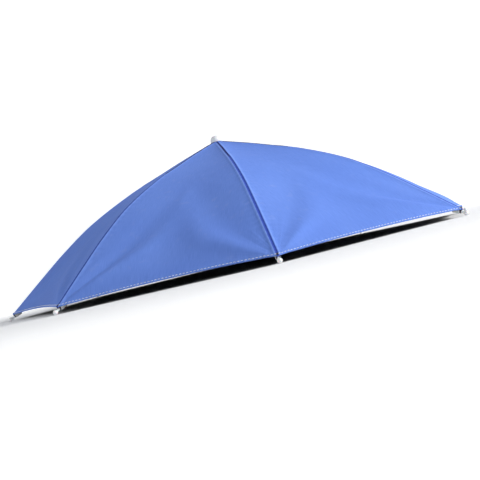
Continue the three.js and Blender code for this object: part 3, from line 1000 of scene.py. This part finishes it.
tieSettings = {
    "loops": 6,
    "radius": 0.00032,
    "spacing": 0.00052,
    "fromCorner": 0.0017,  # inwards of the cloth's corner
    "seed": 3,
    "strayAlong": 0.0001,
    "strayUp": 0.0002,
    "tilt": 0.12,
    "steps": 26,
    "sides": 7,
    "thread": (0.012, 0.014, 0.05, 1),
}


def tieShell():
    # Each loop is an oval round the neck and the cloth's corner, a little out of line with its
    # neighbours, and closed on itself
    settings = tieSettings
    chance = np.random.default_rng(settings["seed"])
    corner = np.array([canopyShape["reach"] - settings["fromCorner"], 0, 0])
    corner[2] = float(clothHeight(corner[0])) + cornerLevel
    alongNeck = (corner - tipBasePoint) @ tipOut
    neckPoint = tipBasePoint + tipOut * alongNeck
    rise = (corner - neckPoint) @ tipUp
    angle = np.arange(settings["steps"]) * 2 * math.pi / settings["steps"]
    shells = []
    for k in range(settings["loops"]):
        shift = (k - (settings["loops"] - 1) / 2) * settings["spacing"]
        shift += chance.uniform(-1, 1) * settings["strayAlong"]
        low = -(tipShape["neckRadius"] + settings["radius"])
        high = rise + settings["radius"] * 1.3 + chance.uniform(0, 1) * settings["strayUp"]
        wide = tipShape["neckRadius"] + settings["radius"] * chance.uniform(1, 1.5)
        across = wide * np.cos(angle) * (1 - 0.25 * np.sin(angle))
        up = (high + low) / 2 + (high - low) / 2 * np.sin(angle)
        tilt = chance.uniform(-settings["tilt"], settings["tilt"])
        middle = (neckPoint + tipOut * shift)[None] + (
            across[:, None] * sideAxis + up[:, None] * tipUp + (tilt * across)[:, None] * tipOut)
        along = unit(np.roll(middle, -1, 0) - np.roll(middle, 1, 0))
        first = unit(np.cross(along, tipOut))
        second = np.cross(along, first)
        section = disc(settings["radius"], settings["sides"])
        points = (middle[:, None] + section[None, :, :1] * first[:, None]
                  + section[None, :, 1:] * second[:, None])
        faces, _ = gridFaces(settings["steps"], settings["sides"], True, True)
        shells.append(outwards(points.reshape(-1, 3), faces))
    return joined(shells)


tieTemplate = tieShell()
tieThread = makeThread("tieThread", tieSettings["thread"])
for i in range(ribCount):
    makePiece(f"corner_tie_{i + 1}", turnedShell(tieTemplate, front + i * ribTurn), [tieThread])
print("corner ties made")


# Hub and cap

hubShape = {
    "radius": 0.017,
    "height": 0.015,
    "edge": 0.0018,
    "rim": (0.0006, 0.0008),  # width and depth of the upper edge's bevel
    "room": 0.0003,
    "sides": 96,
}
capShape = {
    "radius": 0.008,
    "height": 0.010,  # above the cloth at its edge
    "stemRadius": 0.003,
    "stemLength": 0.006,
    "room": 0.0003,
    "edge": 0.0008,
    "sides": 72,
}


def clothUnderside(radius):
    # Height of the cloth's inner face under the middle of a panel
    outer = radius / math.cos(ribTurn / 2)
    u = (outer - canopyShape["start"]) / (canopyShape["reach"] - canopyShape["start"])
    height = panelSurface(u, np.zeros_like(u))[..., 2]
    return height - upright(outer, canopyShape["wall"]) - upright(radius, hubShape["room"])


def hubShell():
    shape = hubShape
    radius, edge = shape["radius"], shape["edge"]
    top = clothUnderside(np.array([radius]))[0]
    bottom = top - shape["height"]
    bore = capShape["stemRadius"] + capShape["room"]
    slope = np.linspace(radius - shape["rim"][0], bore, 8)
    stemEnd = cornerLevel + canopyShape["rise"] - capShape["stemLength"] - capShape["room"]
    profile = np.concatenate([
        [[0, bottom]],
        arc((radius - edge, bottom + edge), edge, -90, 0, 9),
        [[radius, top - shape["rim"][1]]],
        np.stack([slope, clothUnderside(slope)], -1),
        [[bore, stemEnd], [0, stemEnd]],
    ])
    return revolved(profile, shape["sides"])


def capShell():
    shape = capShape
    radius, stem = shape["radius"], shape["stemRadius"]
    flange = float(clothHeight(radius)) + shape["room"] + cornerLevel
    under = float(clothHeight(stem)) + shape["room"] + cornerLevel
    bottom = cornerLevel + canopyShape["rise"] - shape["stemLength"]
    angle = np.radians(np.linspace(0, 90, 20))
    shoulder = flange + 0.2 * shape["height"]
    dome = np.stack([radius * np.cos(angle) ** 0.92,
                     shoulder + 0.8 * shape["height"] * np.sin(angle)], -1)
    profile = np.concatenate([
        [[0, bottom], [stem, bottom], [stem, under]],
        arc((radius - shape["edge"], flange + shape["edge"]), shape["edge"], -90, 0, 6),
        dome,
    ])
    profile[-1, 0] = 0
    return revolved(profile, shape["sides"])


blackPlastic = makePlastic("blackPlastic", **plasticFinish["black"])
capPlastic = makePlastic("capPlastic", **plasticFinish["cap"])
makePiece("hub_boss", hubShell(), [blackPlastic], ["crown_hub"])
makePiece("crown_cap", capShell(), [capPlastic], ["top_cap"])
print("hub and cap made")


# Arms, rivets and clips

armShape = {
    "width": 0.0074,
    "wall": 0.0016,
    "corner": 0.00055,
    "start": 0.009,
    "spacing": 0.0036,  # free height between a rib and the arm under it, at the hub
    "eyeRadius": 0.0045,
    "room": 0.0003,
    "rivetPlace": 0.83,  # share of the arm's line
    # out is a share of the way from the hub to the clip, drop of the way from the line under
    # the rib to the clip's level
    "line": {"out": [0, 0.2, 0.42, 0.7, 0.96, 1.13, 1.215, 1.24, 1.215, 1.15, 1.06, 1],
             "drop": [0, 0, 0, 0.01, 0.05, 0.14, 0.27, 0.43, 0.6, 0.77, 0.91, 1]},
    "clipWall": 0.0015,
    "clipLength": 0.0205,
    "clipEdge": 0.0006,
    "clipCorner": 0.0011,
    "slotCorner": 0.0003,
}
rivetShape = {
    "shank": 0.0011,
    "head": 0.0022,
    "headHeight": 0.0009,
    "sides": 32,
}


def curveThrough(knots, steps):
    # Centripetal smooth curve through the knots, then evenly spaced by length
    gaps = np.linalg.norm(np.diff(knots, axis=0), axis=1) ** 0.5
    extended = np.concatenate([[2 * knots[0] - knots[1]], knots, [2 * knots[-1] - knots[-2]]])
    gaps = np.concatenate([gaps[:1], gaps, gaps[-1:]])[:, None]
    t = np.linspace(0, 1, 60, endpoint=False)[None, :, None]
    p0, p1, p2, p3 = (extended[k:len(extended) - 3 + k] for k in range(4))
    d0, d1, d2 = gaps[:-2], gaps[1:-1], gaps[2:]
    leave = ((p1 - p0) / d0 - (p2 - p0) / (d0 + d1) + (p2 - p1) / d1) * d1
    arrive = ((p2 - p1) / d1 - (p3 - p1) / (d1 + d2) + (p3 - p2) / d2) * d1
    p1, p2, leave, arrive = (a[:, None] for a in (p1, p2, leave, arrive))
    curve = (p1 + leave * t + (-3 * p1 + 3 * p2 - 2 * leave - arrive) * t ** 2
             + (2 * p1 - 2 * p2 + leave + arrive) * t ** 3).reshape(-1, knots.shape[1])
    curve = np.concatenate([curve, knots[-1:]])
    lengths = lengthsAlong(curve)
    return readAt(np.linspace(0, lengths[-1], steps), lengths, curve), lengths[-1]


clipPlace = math.hypot(bandShape["side"], bandShape["front"]) / math.sqrt(2)
bandRadius = bandShape["side"] * bandShape["front"] / clipPlace
clipEnd = (bandRadius + bandShape["room"] + armShape["clipWall"] / 2,
           bandShape["top"] + bandShape["room"])


def armKnots():
    out, drop = (np.array(armShape["line"][k]) for k in ("out", "drop"))
    radius = armShape["start"] + out * (clipEnd[0] - armShape["start"])
    underRib = ribHeight(radius) - upright(radius, ribShape["radius"])
    top = underRib - upright(radius, armShape["spacing"] + armShape["wall"])
    return planePath(radius, top - drop * (top - clipEnd[1]))


armLine, armLength = curveThrough(armKnots(), 400)


def armStrip(start, end, low, high):
    # A flat strip with rounded edges along the arm's line, from one length to another, that
    # widens to a round eye at the rivet; low and high are its two faces, inwards of the line
    walked = np.linspace(start, end, 90)
    path = readAt(walked, np.linspace(0, armLength, len(armLine)), armLine)
    inwards = -squareTo(path)
    fromRivet = walked - armShape["rivetPlace"] * armLength
    eye = np.sqrt(np.maximum(armShape["eyeRadius"] ** 2 - fromRivet ** 2, 0))
    beyond = fromRivet * (1 if fromRivet[-1] < -fromRivet[0] else -1) > 0
    halfWidth = np.where(beyond, eye, np.maximum(eye, armShape["width"] / 2))
    halfWidth = np.maximum(halfWidth, armShape["corner"] * 1.05)
    section = roundedBox(1, (high - low) / 2, armShape["corner"])
    pull = np.sign(section[:, 0]) * (halfWidth[:, None] - 1)
    sections = np.stack([section[:, 0] + pull, np.broadcast_to(section[:, 1], pull.shape)], -1)
    return swept(path + inwards * (low + high) / 2, sideAxis, inwards, sections)


def bandPoint(parameter, outwardsBy, height):
    # A point at an offset from the band's outer face: an ellipse with both half axes changed
    return np.stack(np.broadcast_arrays((bandShape["side"] + outwardsBy) * np.cos(parameter),
                                        (bandShape["front"] + outwardsBy) * np.sin(parameter),
                                        height + cornerLevel), -1)


def clipLoop(azimuth):
    # A short block that follows the band, hollow for the band to pass through
    shape, room = armShape, bandShape["room"]
    middle = math.atan2(math.sin(azimuth) / bandShape["front"], math.cos(azimuth) / bandShape["side"])
    pace = math.hypot(bandShape["side"] * math.sin(middle), bandShape["front"] * math.cos(middle))
    half, edge = shape["clipLength"] / 2, shape["clipEdge"]
    slotHalf = (bandShape["wall"] / 2 + room, bandShape["width"] / 2 + room)
    shellHalf = (slotHalf[0] + shape["clipWall"], slotHalf[1] + shape["clipWall"])
    centre = (-bandShape["wall"] / 2, bandShape["top"] - bandShape["width"] / 2)
    quarter = np.radians(np.linspace(0, 90, 5))
    ending = half - edge + edge * np.sin(quarter)
    inset = edge * (1 - np.cos(quarter))
    length = np.concatenate([-ending[::-1], np.linspace(-half + edge, half - edge, 9)[1:-1], ending])
    insets = np.concatenate([inset[::-1], np.zeros(7), inset])
    outside = roundedBox(*shellHalf, shape["clipCorner"])
    slot = roundedBox(*slotHalf, shape["slotCorner"])
    shrunk = outside[None] - np.sign(outside)[None] * insets[:, None, None]
    sections = np.concatenate([shrunk, np.broadcast_to(slot, (len(length),) + slot.shape)])
    length = np.concatenate([length, length[::-1]])
    points = bandPoint((middle + length / pace)[:, None], centre[0] + sections[..., 0],
                       centre[1] + sections[..., 1])
    faces, _ = gridFaces(*points.shape[:2], True, True)
    return outwards(points.reshape(-1, 3), faces)


def rivetShell():
    # Two low domed heads on a shank through the arm and the tongue
    shape = rivetShape
    half = armShape["room"] * 1.5 + armShape["wall"]
    head, height = shape["head"], shape["headHeight"]
    angle = np.radians(np.linspace(90, 0, 8))
    dome = np.stack([head * np.cos(angle) ** 0.8, half + height * (0.25 + 0.75 * np.sin(angle))], -1)
    dome[0, 0] = 0
    profile = np.concatenate([dome, [[head * 0.96, half], [shape["shank"], half]]])
    mirror = profile[::-1] * [1, -1]
    points, faces = revolved(np.concatenate([profile, mirror]), shape["sides"])
    place = armShape["rivetPlace"] * (len(armLine) - 1)
    low = int(place)
    middle = armLine[low] + (armLine[low + 1] - armLine[low]) * (place - low)
    along = unit(armLine[low + 1] - armLine[low])
    inwards = np.array([along[2], 0, -along[0]])
    return outwards(middle + points @ np.stack([along, sideAxis, inwards]), faces)


rivetFinish = {
    "steel": (0.46, 0.46, 0.47, 1),
    "tarnish": (0.27, 0.26, 0.26, 1),
    "roughness": (0.24, 0.45),
    "scratchDepth": 0.00001,
}


def makeRivetSteel():
    finish = rivetFinish
    material, tree, shader, coords = newMaterial("rivetSteel", {
        "Base Color": finish["steel"], "Metallic": 1.0})
    marks = grouped(tree, runsGroup, vector=coords["Object"], scale=140.0, amount=0.5)
    finishShader(tree, shader, mixed(tree, marks["Tone"], finish["steel"], finish["tarnish"]),
                 mapped(tree, marks["Tone"], 0, 1, *finish["roughness"]),
                 product(tree, noise(tree, coords["Object"], 1800.0, 2.0), finish["scratchDepth"]))
    return material


rivetSteel = makeRivetSteel()
face = armShape["room"] / 2
eyeAt = armShape["rivetPlace"] * armLength
armTemplate = armStrip(0.0003, eyeAt + armShape["eyeRadius"], face, face + armShape["wall"])
tongueTemplate = armStrip(eyeAt - armShape["eyeRadius"], armLength, -face - armShape["wall"], -face)
rivetTemplate = rivetShell()
for i in range(armCount):
    azimuth = front + (i + 0.5) * 2 * math.pi / armCount
    makePiece(f"spring_arm_{i + 1}", turnedShell(armTemplate, azimuth), [blackPlastic],
              [f"band_arm_{i + 1}"])
    clip = joined([turnedShell(tongueTemplate, azimuth), clipLoop(azimuth)])
    makePiece(f"loop_clip_{i + 1}", clip, [blackPlastic], [f"band_clip_{i + 1}"])
    makePiece(f"domed_rivet_{i + 1}", turnedShell(rivetTemplate, azimuth), [rivetSteel],
              [f"arm_rivet_{i + 1}"])
print("arms, rivets and clips made")


# Headband

bandFinish = {
    "black": (0.0085, 0.0085, 0.0095, 1),
    "worn": (0.03, 0.03, 0.034, 1),
    "lint": (0.22, 0.22, 0.24, 1),
    "course": 0.0011,  # spacing of the knit across the band
    "knitDepth": 0.00012,
    "fuzzDepth": 0.00008,
    "roughness": (0.74, 0.9),
}


def bandShell():
    # A flat knitted ring: a thin rounded section with lengthwise ribs on both faces
    halfWall, halfWidth = bandShape["wall"] / 2, bandShape["width"] / 2
    edge, steps = bandShape["edge"], bandShape["steps"]
    height = np.linspace(-halfWidth + edge, halfWidth - edge, 12 * bandShape["ribs"])
    phase = (height + halfWidth) / (2 * halfWidth) * bandShape["ribs"] * math.pi
    offset = halfWall - bandShape["ribDepth"] * (1 - np.abs(np.sin(phase)) ** 0.6)
    faceOut = np.stack([offset, height], -1)
    top = arc((0, halfWidth - edge), edge, 60, 120, 4) * [1.2, 1]
    section = np.concatenate([faceOut, top, (faceOut * [-1, 1])[::-1], top[::-1] * [1, -1]])
    parameter = np.arange(steps) * 2 * math.pi / steps
    centre = (-halfWall, bandShape["top"] - halfWidth)
    points = bandPoint(parameter[:, None], centre[0] + section[:, 0], centre[1] + section[:, 1])
    faces, corner = gridFaces(steps, len(section), True, True)
    alongBand = lengthsAlong(bandPoint(np.append(parameter, 0), -halfWall, centre[1]))
    aroundBand = lengthsAlong(np.concatenate([section, section[:1]]))
    uv = np.stack([alongBand[corner[..., 0]], aroundBand[corner[..., 1]]], -1)
    points = points.reshape(-1, 3)
    if insideOut(points, faces):
        faces, uv = faces[:, ::-1], uv[:, ::-1]
    return (points, faces), uv, alongBand[-1]


def makeBandElastic():
    finish = bandFinish
    material, tree, shader, coords = newMaterial("bandElastic", {
        "Base Color": finish["black"], "Sheen Weight": 0.35, "Sheen Roughness": 0.5,
        "Specular IOR Level": 0.25})
    split = node(tree, "SeparateXYZ", {"Vector": coords["UV"]})
    sway = noise(tree, coords["UV"], 260.0, 2.0)
    phase = total(tree, product(tree, split.outputs["X"], 2 * math.pi / finish["course"]),
                  product(tree, sway, 1.5))
    knit = mapped(tree, calculate(tree, "SINE", phase), -1, 1)
    marks = grouped(tree, runsGroup, vector=coords["Object"], scale=30.0, amount=0.12)
    tone = mixed(tree, product(tree, knit, 0.45), finish["black"], finish["worn"])
    finishShader(tree, shader, mixed(tree, marks["Dust"], tone, finish["lint"]),
                 mapped(tree, marks["Tone"], 0, 1, *finish["roughness"]),
                 total(tree, product(tree, knit, finish["knitDepth"]),
                       product(tree, sway, finish["fuzzDepth"])))
    return material


bandParts, bandUv, bandLength = bandShell()
headband = makePiece("elastic_band", bandParts, [makeBandElastic()], ["headband"],
                     bandUv)
print("headband made,", round(bandLength, 3), "m round")


# What the cloth pieces were cut from

def panelCut():
    # One flat panel: its width at the hem, its length down the middle, and its area
    u, v = np.linspace(0, 1, 200)[:, None], np.linspace(-1, 1, 41)[None]
    surface = panelSurface(u, v)
    down = np.linalg.norm(np.diff(surface, axis=0), axis=-1)
    across = np.linalg.norm(np.diff(surface, axis=1), axis=-1)
    area = (0.25 * (down[:, 1:] + down[:, :-1]) * (across[1:] + across[:-1])).sum()
    return across[-1].sum(), down[:, 20].sum(), area


cutWidth, cutLength, cutArea = panelCut()
# the sewn cloth is a dome of eight gores; this prints the size of the flat panel that each was cut from
print("one panel is cut", round(cutWidth, 4), "by", round(cutLength, 4), "m, area", round(cutArea, 5))


# Floor, backdrop and light

studioSettings = {
    "paper": (0.86, 0.865, 0.875, 1),
    "floorRadius": 1.9,
    "bend": 1.3,
    "wallHeight": 2.6,
    "sides": 96,
    "wallGlow": 0.22,
    "backdropGlow": 0.4,  # seen by the camera alone
    "backdropFrom": (0.34, 1.0),  # metres from the hat's axis
    "sky": (0.93, 0.96, 1.0, 1),
    "skyStrength": 0.17,
    "aimHeight": 0.08,  # where the lights point to, on the hat's axis
}
# place: to the picture's right, up and away from the camera, in metres from the hat
lightSettings = {
    "key": {"place": (2.2, 1.15, -0.5), "size": 0.9, "power": 66, "colour": (1, 0.99, 0.97)},
    "fill": {"place": (-1.6, 0.9, -1.0), "size": 1.6, "power": 6, "colour": (0.94, 0.97, 1)},
    "back": {"place": (-0.4, 1.7, 1.5), "size": 1.2, "power": 6, "colour": (0.97, 0.98, 1)},
}


def addStudio():
    # A round sweep of pale paper: flat floor, a bend, and a wall all round
    settings = studioSettings
    floor = np.stack([np.linspace(0, settings["floorRadius"], 12), np.zeros(12)], -1)[:-1]
    bend = arc((settings["floorRadius"], settings["bend"]), settings["bend"], -90, 0, 16)
    wall = np.array([[settings["floorRadius"] + settings["bend"], settings["wallHeight"]]])
    sides = settings["sides"]
    points, faces = openRings(np.concatenate([floor, bend, wall])[1:], sides)
    around = np.arange(sides)
    fan = np.stack([np.full(sides, len(points)), around, (around + 1) % sides], -1)
    points = np.concatenate([points, [[0, 0, 0]]])
    faces = np.concatenate([faces, fan])
    mesh = bpy.data.meshes.new("studio_paper")
    mesh.from_pydata(points.tolist(), [], faces.tolist())
    mesh.shade_smooth()
    paper = bpy.data.objects.new("studio_paper", mesh)
    scene.collection.objects.link(paper)
    material, tree, shader, coords = newMaterial("studioPaper", {
        "Base Color": settings["paper"], "Roughness": 0.9, "Specular IOR Level": 0.1,
        "Emission Color": (1, 1, 1, 1)})
    # the wall lights the scene by its height, and far paper looks white to the camera
    height = node(tree, "SeparateXYZ", {"Vector": coords["Object"]}).outputs["Z"]
    wallLight = mapped(tree, height, 0, settings["bend"], 0, settings["wallGlow"], smooth=True)
    away = node(tree, "VectorMath", {"Vector": coords["Object"]}, operation="LENGTH").outputs["Value"]
    backdrop = mapped(tree, away, *settings["backdropFrom"], 0, settings["backdropGlow"], smooth=True)
    seen = product(tree, node(tree, "LightPath").outputs["Is Camera Ray"], backdrop)
    wire(tree, shader.inputs["Emission Strength"], total(tree, wallLight, seen))
    mesh.materials.append(material)


def addLights():
    world = bpy.data.worlds.new("studioSky")
    world.use_nodes = True
    background = world.node_tree.nodes["Background"]
    background.inputs["Color"].default_value = studioSettings["sky"]
    background.inputs["Strength"].default_value = studioSettings["skyStrength"]
    scene.world = world
    level = Vector((pictureForward.x, pictureForward.y, 0)).normalized()
    aim = Vector((0, 0, studioSettings["aimHeight"]))
    for name, settings in lightSettings.items():
        right, up, away = settings["place"]
        lamp = bpy.data.lights.new(name, "AREA")
        lamp.shape = "DISK"
        lamp.size = settings["size"]
        lamp.energy = settings["power"]
        lamp.color = settings["colour"]
        holder = bpy.data.objects.new(name, lamp)
        holder.location = aim + pictureRight * right + Vector((0, 0, up)) + level * away
        holder.rotation_euler = (aim - holder.location).to_track_quat("-Z", "Y").to_euler()
        scene.collection.objects.link(holder)


addStudio()
addLights()
scene.view_settings.view_transform = "Standard"
scene.view_settings.look = "None"
print("studio made")
